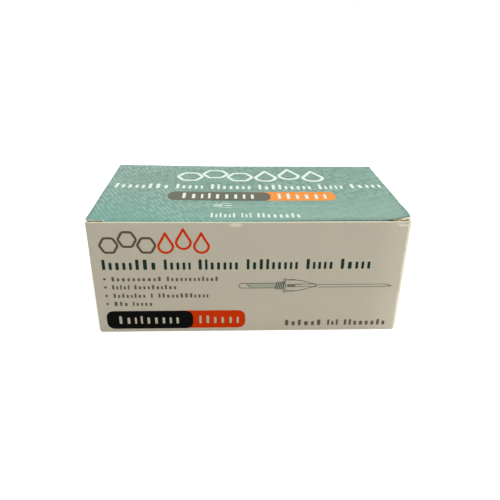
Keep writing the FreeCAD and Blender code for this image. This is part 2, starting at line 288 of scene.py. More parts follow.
def cut_across(bm, axis, places):
    """Cuts the mesh with planes square to an axis, so that it can bend there."""
    normal = Vector([1.0 if index == axis else 0.0 for index in range(3)])
    for place in places:
        whole = bm.verts[:] + bm.edges[:] + bm.faces[:]
        bmesh.ops.bisect_plane(bm, geom=whole, dist=SAME_PLACE, plane_co=normal * place,
                               plane_no=normal)


def cut_away(bm, point, normal, chosen):
    """Removes what lies beyond a plane, from the chosen faces alone."""
    faces = [face for face in bm.faces if chosen(face.calc_center_median())]
    geometry = {element for face in faces for element in (*face.verts, *face.edges, face)}
    bmesh.ops.bisect_plane(bm, geom=list(geometry), dist=SAME_PLACE, plane_co=point,
                           plane_no=normal)
    middles = {face: face.calc_center_median() for face in bm.faces}
    beyond = [face for face, middle in middles.items()
              if chosen(middle) and (middle - Vector(point)).dot(Vector(normal)) > 0]
    bmesh.ops.delete(bm, geom=beyond, context="FACES")


def near(value, place, gap=SLACK):
    """Whether the value lies within the gap of the place."""
    return abs(value - place) < gap


def edges_where(bm, test):
    """The edges of which both ends pass the test."""
    return [edge for edge in bm.edges if all(test(vert.co) for vert in edge.verts)]


def verts_of(edges):
    """The vertices of the edges, each once."""
    return {vert for edge in edges for vert in edge.verts}


def fold(bm, edges, centre, axis, angle, steps=5):
    """Turns the edges about an axis, which leaves a rounded fold. Returns the last edges."""
    turned = bmesh.ops.spin(bm, geom=edges, cent=centre, axis=axis, dvec=(0, 0, 0), angle=angle,
                            steps=steps, use_duplicate=False)
    return [item for item in turned["geom_last"] if isinstance(item, bmesh.types.BMEdge)]


def extend(bm, edges, step, count=1):
    """Pulls the edges out into a flat panel, in equal strips. Returns the panel's far edges."""
    for _ in range(count):
        pulled = bmesh.ops.extrude_edge_only(bm, edges=edges)["geom"]
        verts = [item for item in pulled if isinstance(item, bmesh.types.BMVert)]
        bmesh.ops.translate(bm, vec=[value / count for value in step], verts=verts)
        edges = [item for item in pulled if isinstance(item, bmesh.types.BMEdge)]
    return edges


def steps_between(start, end, count):
    """The places that part a length into equal steps, without its ends."""
    return [start + (end - start) * index / count for index in range(1, count)]


def placed(name, data):
    """A new object in the scene."""
    item = bpy.data.objects.new(name, data)
    bpy.context.scene.collection.objects.link(item)
    return item


def finished(name, bm, materials, smooth=True):
    """The mesh as an object at the origin with its materials."""
    mesh = bpy.data.meshes.new(name)
    bm.to_mesh(mesh)
    bm.free()
    for material in materials:
        mesh.materials.append(material)
    for polygon in mesh.polygons:
        polygon.use_smooth = smooth
    return placed(name, mesh)


def board_thickness(piece):
    """Gives a folded face its thickness inwards, with an inside and a cut edge."""
    solid = piece.modifiers.new("Board", "SOLIDIFY")
    solid.thickness = sizes().board
    solid.offset = -1
    solid.use_even_offset = True
    solid.use_quality_normals = True
    solid.material_offset = INSIDE
    solid.material_offset_rim = CUT_EDGE
    normals = piece.modifiers.new("Flat panels", "WEIGHTED_NORMAL")
    normals.keep_sharp = True
    normals.weight = 80


def outward(bm, point, normal):
    """Turns all faces the same way, so that the one nearest the point faces along the normal."""
    bmesh.ops.recalc_face_normals(bm, faces=bm.faces[:])
    place = Vector(point)
    face = min(bm.faces, key=lambda item: (item.calc_center_median() - place).length)
    if face.normal.dot(Vector(normal)) < 0:
        bmesh.ops.reverse_faces(bm, faces=bm.faces[:])


# Shader tools

MIX_COLOURS = (6, 7)
MIX_RESULT = 2


def rgba(value):
    """A colour with full alpha."""
    return (*value, 1.0)


def sum_of(operation):
    """A method that puts its value and another one into one sum."""
    return lambda value, other: value.graph.math(operation, value, other)


class Value:
    """A node's output, with which sums are written as with plain numbers."""

    __add__ = sum_of("ADD")
    __sub__ = sum_of("SUBTRACT")
    __mul__ = sum_of("MULTIPLY")
    __truediv__ = sum_of("DIVIDE")
    __gt__ = sum_of("GREATER_THAN")
    __lt__ = sum_of("LESS_THAN")
    at_least = sum_of("MAXIMUM")
    at_most = sum_of("MINIMUM")

    def __init__(self, graph, socket):
        self.graph = graph
        self.socket = socket

    def __rsub__(self, other):
        return self.graph.math("SUBTRACT", other, self)

    def __abs__(self):
        return self.graph.math("ABSOLUTE", self)

    def ramp(self, start, end):
        """0 before the start and 1 after the end, smooth between them."""
        return self.graph.first("ShaderNodeMapRange", {
            "Value": self, "From Min": start, "From Max": end,
        }, interpolation_type="SMOOTHSTEP")


class Graph:
    """Short ways to add and join nodes in one tree."""

    def __init__(self, tree):
        self.tree = tree

    def feed(self, socket, value):
        """Links a node's output to the socket, or sets the socket's own value."""
        if isinstance(value, Value):
            self.tree.links.new(value.socket, socket)
        else:
            socket.default_value = value

    def node(self, kind, inputs=None, **settings):
        """A new node with its settings, and with values or links on its inputs."""
        made = self.tree.nodes.new(kind)
        for name, value in settings.items():
            setattr(made, name, value)
        for name, value in (inputs or {}).items():
            self.feed(made.inputs[name], value)
        return made

    def first(self, kind, inputs=None, **settings):
        """The first output of a new node."""
        return Value(self, self.node(kind, inputs, **settings).outputs[0])

    def named(self, kind, inputs=None, **settings):
        """The outputs of a new node, by name."""
        made = self.node(kind, inputs, **settings)
        return {output.name: Value(self, output) for output in made.outputs}

    def math(self, operation, *values):
        """The result of one sum."""
        return self.first("ShaderNodeMath", dict(enumerate(values)), operation=operation)

    def noise(self, place, scale, detail=2.0, roughness=0.5):
        """Soft noise about 0.5."""
        return self.first("ShaderNodeTexNoise", {
            "Vector": place, "Scale": scale, "Detail": detail, "Roughness": roughness,
        })

    def parts(self, vector):
        """The three parts of a vector."""
        return self.named("ShaderNodeSeparateXYZ", {"Vector": vector}).values()

    def vector(self, **parts):
        """A vector from its parts X, Y and Z."""
        return self.first("ShaderNodeCombineXYZ", parts)

    def mix(self, factor, *pair):
        """A blend of two colours, each an output or a plain colour."""
        made = self.node("ShaderNodeMix", {"Factor": factor}, data_type="RGBA")
        for index, colour in zip(MIX_COLOURS, pair):
            self.feed(made.inputs[index], colour if isinstance(colour, Value) else rgba(colour))
        return Value(self, made.outputs[MIX_RESULT])

    def group(self, shared, place, **inputs):
        """The outputs of a shared group at a place, by name."""
        return self.named("ShaderNodeGroup", {"Place": place, **inputs}, node_tree=shared())

    def mask(self, shared, place, **inputs):
        """The mask that a shared group gives at a place."""
        return self.group(shared, place, **inputs)["Mask"]


class Surface(Graph):
    """A new material with its shader, and the tools to fill it in."""

    def __init__(self, name, roughness, gloss=0.5):
        self.material = bpy.data.materials.new(name)
        self.material.use_nodes = True
        super().__init__(self.material.node_tree)
        self.shader = self.tree.nodes["Principled BSDF"].inputs
        self.shader["Roughness"].default_value = roughness
        self.shader["Specular IOR Level"].default_value = gloss
        self.place = self.named("ShaderNodeTexCoord")["Object"]

    def grain(self, strength):
        """The shade and the height of the paper grain."""
        return self.group(paper_grain, self.place, Strength=strength).values()

    def paint(self, colour, shade):
        """Sets the colour, times the shade."""
        self.feed(self.shader["Base Color"], self.first("ShaderNodeVectorMath", {
            0: colour, 1: shade,
        }, operation="MULTIPLY"))

    def roughen(self, value):
        """Sets the roughness."""
        self.feed(self.shader["Roughness"], value)

    def emboss(self, height, strength, distance):
        """Lets the height show as relief."""
        self.feed(self.shader["Normal"], self.first("ShaderNodeBump", {
            "Height": height, "Strength": strength, "Distance": distance,
        }))


def shared_group(*outputs, **inputs):
    """Makes of a function that draws nodes one that gives them as a group, built only once."""
    def decorate(draw):
        @functools.wraps(draw)
        def group():
            if draw.__name__ in bpy.data.node_groups:
                return bpy.data.node_groups[draw.__name__]
            tree = bpy.data.node_groups.new(draw.__name__, "ShaderNodeTree")
            for label, default in inputs.items():
                kind = "NodeSocketVector" if isinstance(default, tuple) else "NodeSocketFloat"
                socket = tree.interface.new_socket(name=label, in_out="INPUT", socket_type=kind)
                socket.default_value = default
            for label in outputs:
                tree.interface.new_socket(name=label, in_out="OUTPUT",
                                          socket_type="NodeSocketFloat")
            graph = Graph(tree)
            graph.node("NodeGroupOutput", draw(graph, graph.named("NodeGroupInput")))
            return tree
        return group
    return decorate


@shared_group("Shade", "Height", Place=(0, 0, 0), Strength=0.03)
def paper_grain(graph, given):
    """Fibres and mottle of coated board: a shade about 1 and a height for the bump."""
    cloud = graph.noise(given["Place"], 90.0, 3.0)
    fibre = graph.noise(given["Place"], 2600.0, 2.0, 0.6)
    mottle = fibre * 0.45 + cloud * 0.55
    return {"Shade": (mottle - 0.5) * given["Strength"] + 1.0, "Height": mottle}


@shared_group("Mask", Place=(0, 0, 0), Reach=0.7 * MM)
def fold_wear_and_highlight(graph, given):
    """A mask of the carton's upright folds and lowest corners, where the print is abraded pale; on
    the front right fold it is widest, and the extra width is a painted highlight of the crease lit
    from the right.
    """
    x, y, z = graph.parts(given["Place"])
    near_side = sizes().half_width - abs(x)
    near_face = sizes().half_depth - abs(y)
    lowest = z.at_least(near_side.at_most(near_face))
    nearest = near_side.at_least(near_face).at_most(lowest * 3.0)
    ragged = graph.noise(given["Place"], 420.0, 3.0) * 0.8 + 0.6
    # Widest on the front right fold: there the extra width is a painted highlight of the crease lit
    # from the right
    most = x.ramp(-20 * MM, 20 * MM) * y.ramp(0, -35 * MM) * 0.82 + 0.18
    share = nearest / (given["Reach"] * ragged * most).at_least(0.02 * MM)
    return {"Mask": 1 - share.ramp(0.65, 1.15)}


@shared_group("Mask", Place=(0, 0, 0), Middle=(0, 0, 0), Across=3 * MM, Up=1 * MM, Curve=0.0)
def scuff_and_painted_light(graph, given):
    """A soft, ragged mask, an oval or an arch along a curve: for scraped varnish and torn board, and
    for painted highlights and painted shade.
    """
    away = graph.first("ShaderNodeVectorMath", {0: given["Place"], 1: given["Middle"]},
                       operation="SUBTRACT")
    x, y, z = graph.parts(away)
    across = x / given["Across"]
    up = (z - given["Curve"] * x * x) / given["Up"]
    ragged = graph.noise(given["Place"], 900.0) * 0.8 - 0.4
    far = across * across + up * up + ragged
    return {"Mask": (1 - far.ramp(0.1, 1.1)) * (1 - abs(y).ramp(1.5 * MM, 2.5 * MM))}


@shared_group("Edge", "Shadow", Place=(0, 0, 0))
def glued_joint(graph, given):
    """Masks of the back wall's glued end, at the right fold: its cut edge and the line beside it."""
    size = sizes()
    x, y, _ = graph.parts(given["Place"])
    on_back = y > size.half_depth - 0.1 * MM
    wobble = (graph.noise(given["Place"], 150.0, 1.0) - 0.5) * (0.2 * MM)
    inwards = size.half_width - x + wobble
    start, end, line = size.crease, size.crease + size.board, size.crease + 1.4 * size.board
    return {"Edge": on_back * (inwards > start) * (inwards < end),
            "Shadow": on_back * (inwards > end) * (inwards < line)}


@shared_group("Mask", Place=(0, 0, 0), Turn=(0, 0, 0), Row=3 * MM, Cell=9 * MM, Width=0.5 * MM)
def stroke_pattern(graph, given):
    """A mask of short round-ended strokes in slanting rows, unlike any lettering."""
    turned = graph.first("ShaderNodeMapping", {"Vector": given["Place"],
                                               "Rotation": given["Turn"]}, vector_type="POINT")
    x, y, _ = graph.parts(turned)

    def number_and_place(steps, width):
        """The number of a row or cell, and how far the place lies from its middle."""
        return graph.math("FLOOR", steps), (graph.math("FRACT", steps) - 0.5) * width

    row, in_row = number_and_place(y / given["Row"], given["Row"])
    shift = graph.first("ShaderNodeTexWhiteNoise", {"W": row}, noise_dimensions="1D")
    cell, in_cell = number_and_place(x / given["Cell"] + shift, given["Cell"])
    chance = graph.named("ShaderNodeTexWhiteNoise", {"Vector": graph.vector(X=cell, Y=row)},
                         noise_dimensions="2D")
    long, lean, _ = graph.named("ShaderNodeSeparateColor", {"Color": chance["Color"]}).values()
    past_end = (abs(in_cell) - given["Cell"] * (long * 0.34 + 0.12)).at_least(0.0)
    aside = in_row + in_cell * (lean - 0.5) * 0.16
    distance = graph.math("SQRT", past_end * past_end + aside * aside)
    return {"Mask": 1 - (distance / given["Width"]).ramp(0.7, 1.25)}


# Materials

def board_material():
    """Varnished printed board, abraded pale along its folds, with painted light and painted
    highlights on the front wall.
    """
    face = Surface("varnished_board", 0.42, gloss=0.22)
    size, paint, place = sizes(), colours(), face.place
    x, y, z = face.parts(place)
    # Pale along the folds: real abrasion, and on the front right fold a painted highlight
    fold_rub_and_highlight = face.mask(fold_wear_and_highlight, place, Reach=1.6 * MM)
    # Painted highlight where the shallow thumb dent faces the light
    thumb = face.mask(scuff_and_painted_light, place, Middle=(THUMB_MIDDLE, -size.half_depth, 58.3 * MM),
                      Across=3.8 * MM, Up=1.15 * MM)
    # Pale arc along the dent's crest: partly worn raw board, partly a painted highlight where its
    # slope faces up to the light
    ridge_wear_and_highlight = face.mask(scuff_and_painted_light, place, Across=3.6 * MM, Up=0.42 * MM, Curve=DENT_CURVE,
                      Middle=(DENT_MIDDLE, -size.half_depth, DENT_RIDGE + 0.25 * MM))
    # Painted light: the front wall is paler toward its right end, lit from the right, and toward its
    # foot, lit from the floor
    to_right = x.ramp(size.half_width - 20 * MM, size.half_width + 2 * MM)
    to_foot = z.ramp(30 * MM, -4 * MM)
    front_painted_light = (y < 2 * MM - size.half_depth) * (to_right * 0.22 + to_foot * 0.08)
    # Everything painted pale: rubbed folds together with the painted light and painted highlights of
    # the front wall
    rubbed_and_lit = front_painted_light.at_least(fold_rub_and_highlight).at_least(thumb * 0.62).at_least(ridge_wear_and_highlight)
    board_tone = face.mix(rubbed_and_lit, paint.board, paint.board_rubbed_and_lit)
    joint = face.group(glued_joint, place)
    board_tone = face.mix(joint["Edge"], board_tone, paint.raw_edge)
    board_tone = face.mix(joint["Shadow"], board_tone, paint.joint_shadow)
    shade, height = face.grain(0.07)
    face.paint(board_tone, shade)
    face.roughen(rubbed_and_lit * 0.25 + height * 0.12 + 0.36)
    face.emboss(height, 0.25, 0.03 * MM)
    return face.material


def inside_material():
    """Uncoated inside of the board, dull and fibrous."""
    face = Surface("uncoated_board", 0.85, gloss=0.1)
    shade, height = face.grain(0.16)
    face.paint(colours().inside, shade)
    face.emboss(height, 0.5, 0.05 * MM)
    return face.material


def raw_edge_material():
    """Cut edge of the board, pale, with soiled patches, and painted shade at the root of each ear.
    """
    face = Surface("cut_board_edge", 0.8, gloss=0.1)
    size, paint = sizes(), colours()
    x, y, z = face.parts(face.place)
    # Painted shade: each ear's cut edge is darker at its root, where it lies in shadow
    root = face.mask(scuff_and_painted_light, face.vector(X=abs(x), Y=y, Z=z), Across=4 * MM, Up=0.9 * MM,
                     Middle=(66.8 * MM, size.lid_front, size.lid_top + 0.4 * MM))
    soil_and_ear_shade = face.noise(face.place, 700.0).ramp(0.6, 0.95).at_least(root)
    face.feed(face.shader["Base Color"], face.mix(soil_and_ear_shade, paint.raw_edge, paint.soiled_and_shaded_edge))
    _, height = face.grain(0.12)
    face.emboss(height, 0.6, 0.06 * MM)
    return face.material


def lid_pattern(face, x, y, z):
    """A mask of the faint strokes on the lid, which run on over its front fold."""
    flat = face.vector(X=x, Y=y + (z - sizes().lid_top).at_most(0.0))
    strokes = face.mask(stroke_pattern, flat, Turn=(0, 0, math.radians(62)), Row=2.1 * MM,
                        Cell=12 * MM, Width=0.42 * MM)
    ties = face.mask(stroke_pattern, flat, Turn=(0, 0, math.radians(-28)), Row=6 * MM,
                     Cell=7 * MM, Width=0.38 * MM)
    fade = face.noise(face.place, 45.0, 1.0).ramp(0.3, 0.6)
    return strokes.at_least(ties) * (fade * 0.6 + 0.35)


def lid_painted_shade(x, y, z):
    """A mask of painted shade in the lid's front fold, where it turns down away from the light, and
    along its cut sides.
    """
    size = sizes()
    front, top = size.lid_front, size.lid_top
    bent = y.ramp(front + 1.7 * MM, front + 0.5 * MM)
    beside = y.ramp(front + 5 * MM, front + 0.5 * MM)
    fold_part = z.ramp(top - 2.2 * MM, top - 1.2 * MM) * x.ramp(-12 * MM, 58 * MM)
    from_side = size.lid_side - abs(x)
    at_side = from_side.ramp(2.8 * MM, 0.3 * MM) * y.ramp(14 * MM, -24 * MM)
    return (fold_part * (bent * 0.62 + beside * 0.25)).at_least(at_side * 0.22)


def teal_material():
    """Teal print with a faint pattern of strokes, which ends a little way down the tuck flap,
    darkened by painted shade in its front fold and along its cut sides.
    """
    face = Surface("teal_print", 0.42, gloss=0.14)
    size, paint = sizes(), colours()
    x, y, z = face.parts(face.place)
    # The ground colour is lighter toward the front right: painted light falling from the right
    front_tone = face.mix(x.ramp(75 * MM, -75 * MM), paint.teal_right, paint.teal_left)
    ground = face.mix(y.ramp(10 * MM, -46 * MM), paint.teal, front_tone)
    ink = face.mix(lid_pattern(face, x, y, z), ground, paint.teal_stroke)
    printed = z.ramp(size.lid_top - 4.1 * MM, size.lid_top - 3.9 * MM)
    surface = face.mix(printed, paint.board, ink)
    slit_end = face.mask(scuff_and_painted_light, face.vector(X=abs(x), Z=y), Across=0.6 * MM, Up=1.5 * MM,
                         Middle=(size.half_width - size.ear - 0.1 * MM, 0, size.lid_front))
    surface = face.mix(slit_end, surface, paint.raw_edge)
    shade, height = face.grain(0.05)
    # Painted shade darkens the print in the front fold and along the cut sides
    face.paint(surface, shade * (1 - lid_painted_shade(x, y, z)))
    face.roughen(height * 0.14 + 0.34)
    face.emboss(height, 0.25, 0.03 * MM)
    return face.material


def ink_material(name, ink):
    """A flat ink with the board's grain showing through."""
    face = Surface(name, 0.42, gloss=0.03)
    shade, height = face.grain(0.1)
    face.paint(ink, shade)
    face.roughen(height * 0.14 + 0.34)
    return face.material


def plastic_material(name, tint, roughness):
    """Moulded plastic with a faint flow mottle."""
    face = Surface(name, roughness)
    flow = face.noise(face.place, 140.0)
    face.paint(tint, (flow - 0.5) * 0.12 + 1.0)
    face.roughen(flow * 0.12 + (roughness - 0.06))
    face.emboss(face.noise(face.place, 2200.0, 1.0), 0.12, 0.02 * MM)
    return face.material


# The board pieces

def folded_carton():
    """The carton's sheet: walls, dust flaps and the hooked bottom, as one folded face."""
    size = sizes()
    wide, deep, bend = size.half_width, size.half_depth, size.crease
    low, high = size.board + bend, size.side_top - bend
    bm = bmesh.new()
    bmesh.ops.create_cube(bm, size=1.0)
    bmesh.ops.scale(bm, vec=(2 * wide, 2 * deep, high - low), verts=bm.verts[:])
    bmesh.ops.translate(bm, vec=(0, 0, (high + low) / 2), verts=bm.verts[:])
    ends = [face for face in bm.faces if abs(face.normal.z) > 0.5]
    bmesh.ops.delete(bm, geom=ends, context="FACES_ONLY")
    uprights = [edge for edge in bm.edges if edge.verts[0].co.xy == edge.verts[1].co.xy]
    bmesh.ops.bevel(bm, geom=uprights, offset=bend, offset_type="OFFSET", affect="EDGES",
                    segments=5, profile=0.5, material=-1)

    cut_across(bm, 0, steps_between(-wide + bend, wide - bend, 24))
    cut_across(bm, 0, [-size.seam_slant, size.seam_slant])
    cut_across(bm, 1, steps_between(-deep + bend, deep - bend, 12))
    cut_across(bm, 2, steps_between(low, high, 9))
    # Finer cuts where the walls are dented and where the dust flaps are pressed down
    cut_across(bm, 0, steps_between(64 * MM, wide - bend, 18))
    cut_across(bm, 0, steps_between(-11 * MM, -2 * MM, 12))
    cut_across(bm, 1, [3.5 * MM - deep, 5 * MM - deep])
    cut_across(bm, 2, steps_between(55 * MM, high, 13))

    for side in (-1, 1):
        for level, turn, reach, strips in ((high, -side, size.dust_flap, 4),
                                           (low, side, size.floor_flap, 3)):
            root = edges_where(bm, lambda co: near(co.x, side * wide) and near(co.z, level))
            crease = fold(bm, root, (side * (wide - bend), 0, level), (0, turn, 0), math.pi / 2)
            extend(bm, crease, (-side * (reach - bend), 0, 0), strips)
        shape_side_flaps(bm, side)

    for side in (-1, 1):
        root = edges_where(bm, lambda co: near(co.y, side * deep) and near(co.z, low)
                           and abs(co.x) < wide - bend + SLACK)
        down = extend(bm, root, (0, 0, bend - low))
        crease = fold(bm, down, (0, side * (deep - bend), bend), (-side, 0, 0), math.pi / 2)
        panel = extend(bm, crease, (0, -side * (deep - bend), 0))
        place_seam(panel, side)

    raise_top_edges(bm, high)
    outward(bm, (0, -deep, 30 * MM), (0, -1, 0))
    add_glue_flap(bm)
    wear_carton(bm)
    piece = finished("folded_carton", bm, [board_material(), inside_material(),
                                           raw_edge_material()])
    board_thickness(piece)
    return piece


def raise_top_edges(bm, high):
    """Carries the front wall up to its worn cut edge, and the back wall to the lid's fold."""
    size = sizes()
    wide, deep, bend = size.half_width, size.half_depth, size.crease
    slant = size.edge_chamfer
    front_ring = edges_where(bm, lambda co: near(co.z, high) and co.y < -deep + bend + SLACK)
    full_height = extend(bm, front_ring, (0, 0, size.front_top - slant - high))
    cut_edge = extend(bm, full_height, (0, 0, slant))
    for vert in verts_of(cut_edge):
        round_corner = max(abs(vert.co.x) - wide + bend, 0.0) / bend
        vert.co.x -= math.copysign(slant * round_corner, vert.co.x)
        vert.co.y += slant * (1 - 0.6 * round_corner)
    for face in {face for edge in cut_edge for face in edge.link_faces}:
        face.material_index = CUT_EDGE
    back_ring = edges_where(bm, lambda co: near(co.z, high) and co.y > deep - bend - SLACK)
    back_edges = [edge for edge in back_ring if all(near(vert.co.y, deep) for vert in edge.verts)]
    extend(bm, back_edges, (0, 0, size.lid_top - size.hinge_crease - high))
    corner_edges = [edge for edge in back_ring if edge not in set(back_edges)]
    extend(bm, corner_edges, (0, 0, size.side_top - high))


def wear_carton(bm):
    """Lets the flat panels bow, sink and rise as the used carton's do."""
    size = sizes()
    wide, deep, bend = size.half_width, size.half_depth, size.crease
    for vert in bm.verts:
        across, along, height = vert.co
        if along < -deep + 2 * bend and height > 2 * bend:
            vert.co.y += wall_sink(across, height)
            vert.co.z += edge_lift(across) * ramp(height, size.side_top - 0.3 * MM,
                                                  size.front_top)
        raised = corner_rise(across, along)
        if height > size.side_top - 5 * SLACK and abs(across) < wide - size.ear - SLACK:
            if abs(along) < deep - 2 * size.board:
                vert.co.z += min(0.0, lid_rise(across, along) - raised)
        elif near(height, size.side_top) and along > bend - deep - SLACK:
            vert.co.z -= shoulder_sink(across, along)
        vert.co.z += raised * ramp(height, 50 * MM, size.side_top)


def add_glue_flap(bm):
    """Adds the right side wall's flap that is glued inside the back wall."""
    size = sizes()
    joint = size.half_depth - size.board - SLACK
    root = size.half_width - size.board - 0.1 * MM
    tip = size.half_width - size.board - size.glue_flap
    low, high = 2 * size.board + 3 * MM, size.side_top - size.board - 3 * MM
    slant = 5 * MM
    corners = ((root, low), (tip, low + slant), (tip, high - slant), (root, high))
    flap = bm.faces.new([bm.verts.new((across, joint, height)) for across, height in corners])
    flap.smooth = True
    flap.normal_update()
    if flap.normal.y < 0:
        bmesh.ops.reverse_faces(bm, faces=[flap])


# From the front and back walls to the free corners of a side flap in the bottom
FLOOR_CORNER = 26 * MM


def shape_side_flaps(bm, side):
    """Cuts a dust flap and a bottom side flap to their outlines."""
    size = sizes()
    wide, deep, bend, board = size.half_width, size.half_depth, size.crease, size.board
    free_end = side * (wide - size.dust_flap)
    corner = 7 * MM
    slide = deep - board - 2 * MM
    back = deep - bend - 1.5 * MM

    def on_dust_flap(co):
        return 0 < co.x * side < wide - size.ear and co.z > size.side_top - 5 * SLACK

    cut_across(bm, 0, [side * (wide - inwards)
                       for inwards in (1.2 * MM, 1.8 * MM, 4.4 * MM, size.ear)])
    cut_away(bm, (0, -slide, 0), (0, -1, 0), on_dust_flap)
    cut_away(bm, (free_end, corner - slide, 0), (-side, -1, 0), on_dust_flap)
    cut_away(bm, (free_end, back - corner, 0), (-side, 1, 0), on_dust_flap)
    root = Vector((side * (wide - 2 * bend), deep - bend - board, 0))
    taper = Vector((free_end + side * corner, back, 0)) - root
    cut_away(bm, root, (side * taper.y, -side * taper.x, 0), on_dust_flap)

    def on_floor_flap(co):
        return 0 < co.x * side < wide - 2 * bend and near(co.z, board, 5 * SLACK)

    for end in (-1, 1):
        root = Vector((side * (wide - 2 * bend), end * (deep - bend - board), 0))
        taper = Vector((side * (wide - size.floor_flap), end * (deep - FLOOR_CORNER), 0)) - root
        normal = Vector((taper.y, -taper.x, 0))
        if normal.y * end < 0:
            normal.negate()
        cut_away(bm, root, normal, on_floor_flap)


def place_seam(edges, side):
    """Moves a bottom panel's free edge to the hooked seam."""
    size = sizes()
    for vert in verts_of(edges):
        share = min(max(-vert.co.x / size.seam_slant, -1.0), 1.0)
        vert.co.y = share * size.seam_reach + side * size.seam_gap / 2


def hinged_lid():
    """The lid's sheet: top panel with ears, front crease and tuck flap."""
    size = sizes()
    bend, side, top = size.crease, size.lid_side, size.lid_top
    back = size.half_depth - size.hinge_crease
    front = size.lid_front + bend
    tuck_side = size.half_width - size.ear - 0.3 * MM
    bm = bmesh.new()
    bmesh.ops.create_grid(bm, x_segments=1, y_segments=1, size=0.5)
    bmesh.ops.scale(bm, vec=(2 * side, back - front, 1), verts=bm.verts[:])
    bmesh.ops.translate(bm, vec=(0, (back + front) / 2, top), verts=bm.verts[:])
    cut_across(bm, 0, steps_between(-side, side, 26) + [-tuck_side, tuck_side])
    cut_across(bm, 0, steps_between(58 * MM, side, 16))
    cut_across(bm, 1, steps_between(front, back, 22) + steps_between(front, front + 4 * MM, 7))

    def front_edges(test):
        return edges_where(bm, lambda co: near(co.y, front) and near(co.z, top)
                           and test(abs(co.x)))

    ears = front_edges(lambda across: across > tuck_side - SLACK)
    tuck = front_edges(lambda across: across < tuck_side + SLACK)
    extend(bm, ears, (0, size.ear_setback - bend, 0))
    crease = fold(bm, tuck, (0, front, top - bend), (1, 0, 0), math.pi / 2 - size.tuck_lean)
    down = Vector((0, math.sin(size.tuck_lean), -math.cos(size.tuck_lean)))
    flap = extend(bm, crease, down * (size.tuck_depth - bend), 4)
    tip = flap[0].verts[0].co.copy()

    corner = size.tuck_corner
    for end in (-1, 1):
        centre = Vector((end * (tuck_side - corner), tip.y, tip.z)) - down * corner
        for angle in (18, 36, 54, 72):
            turned = math.radians(angle)
            normal = Vector((end * math.cos(turned), 0, 0)) + down * math.sin(turned)
            cut_away(bm, centre + normal * corner, normal, lambda co: co.z < top - 2 * bend)

    outward(bm, (0, 0, top), (0, 0, 1))
    wear_lid(bm)
    piece = finished("hinged_lid", bm, [teal_material(), inside_material(), raw_edge_material()])
    board_thickness(piece)
    fray_ear(piece)
    return piece


def wear_lid(bm):
    """Lets the lid sag, droop and curl, and its tuck flap bulge, as the used one's do."""
    size = sizes()
    for vert in bm.verts:
        across, along, height = vert.co
        if height > size.lid_top - SLACK:
            vert.co.z += lid_rise(across, along)
            back_left = (ramp(along, 22 * MM, size.half_depth)
                         * ramp(-across, 70 * MM, size.lid_side))
            front_right = (bump(along, size.lid_front, 3 * MM)
                           * ramp(across, 71.5 * MM, size.lid_side))
            vert.co.x += LID_CORNER_SHIFT * (back_left - front_right)
        else:
            share = min((size.lid_top - height) / size.crease, 1.0)
            vert.co.y += TUCK_BULGE * share * ramp(across, 10 * MM, 62 * MM)
            vert.co.z -= front_droop(across, size.lid_front + size.crease)


def fray_ear(piece):
    """Lets the bent ear's cut edge part into a thicker, frayed one."""
    size = sizes()
    solid = piece.modifiers["Board"]
    solid.thickness = size.ear_puff
    group = piece.vertex_groups.new(name="board_thickness")
    solid.vertex_group = group.name
    plain = size.board / size.ear_puff
    for vert in piece.data.vertices:
        across, along, height = vert.co
        near_end = (0.6 * ramp(across, 65.2 * MM, 66.6 * MM)
                    + 0.4 * ramp(across, 72.2 * MM, 73.2 * MM))
        puff = bump(along, size.lid_front, 2 * MM) * near_end
        if height <= size.lid_top - SLACK:
            puff = 0.0
        group.add([vert.index], plain * (1 - puff) + puff, "REPLACE")


def hinge_fold():
    """The rounded back fold that joins the lid to the back wall."""
    size = sizes()
    bend, back = size.hinge_crease, size.half_depth
    end = size.half_width - size.crease
    bm = bmesh.new()
    line = bm.edges.new([bm.verts.new((across, back, size.lid_top - bend))
                         for across in (-end, end)])
    fold(bm, [line], (0, back - bend, size.lid_top - bend), (1, 0, 0), math.pi / 2, steps=8)
    cut_across(bm, 0, steps_between(-end, end, 12))
    for vert in bm.verts:
        vert.co.z += corner_rise(vert.co.x, back)
    outward(bm, (0, back, size.lid_top), (0, 1, 1))
    piece = finished("hinge_fold", bm, [
        bpy.data.materials[name] for name in ("teal_print", "uncoated_board", "cut_board_edge")
    ])
    board_thickness(piece)
    return piece


# Print: fields of colour and simple shapes on the front wall and the lid

# Longest step across a film of ink, so that it bends with its face
FILM_CUT = 5 * MM


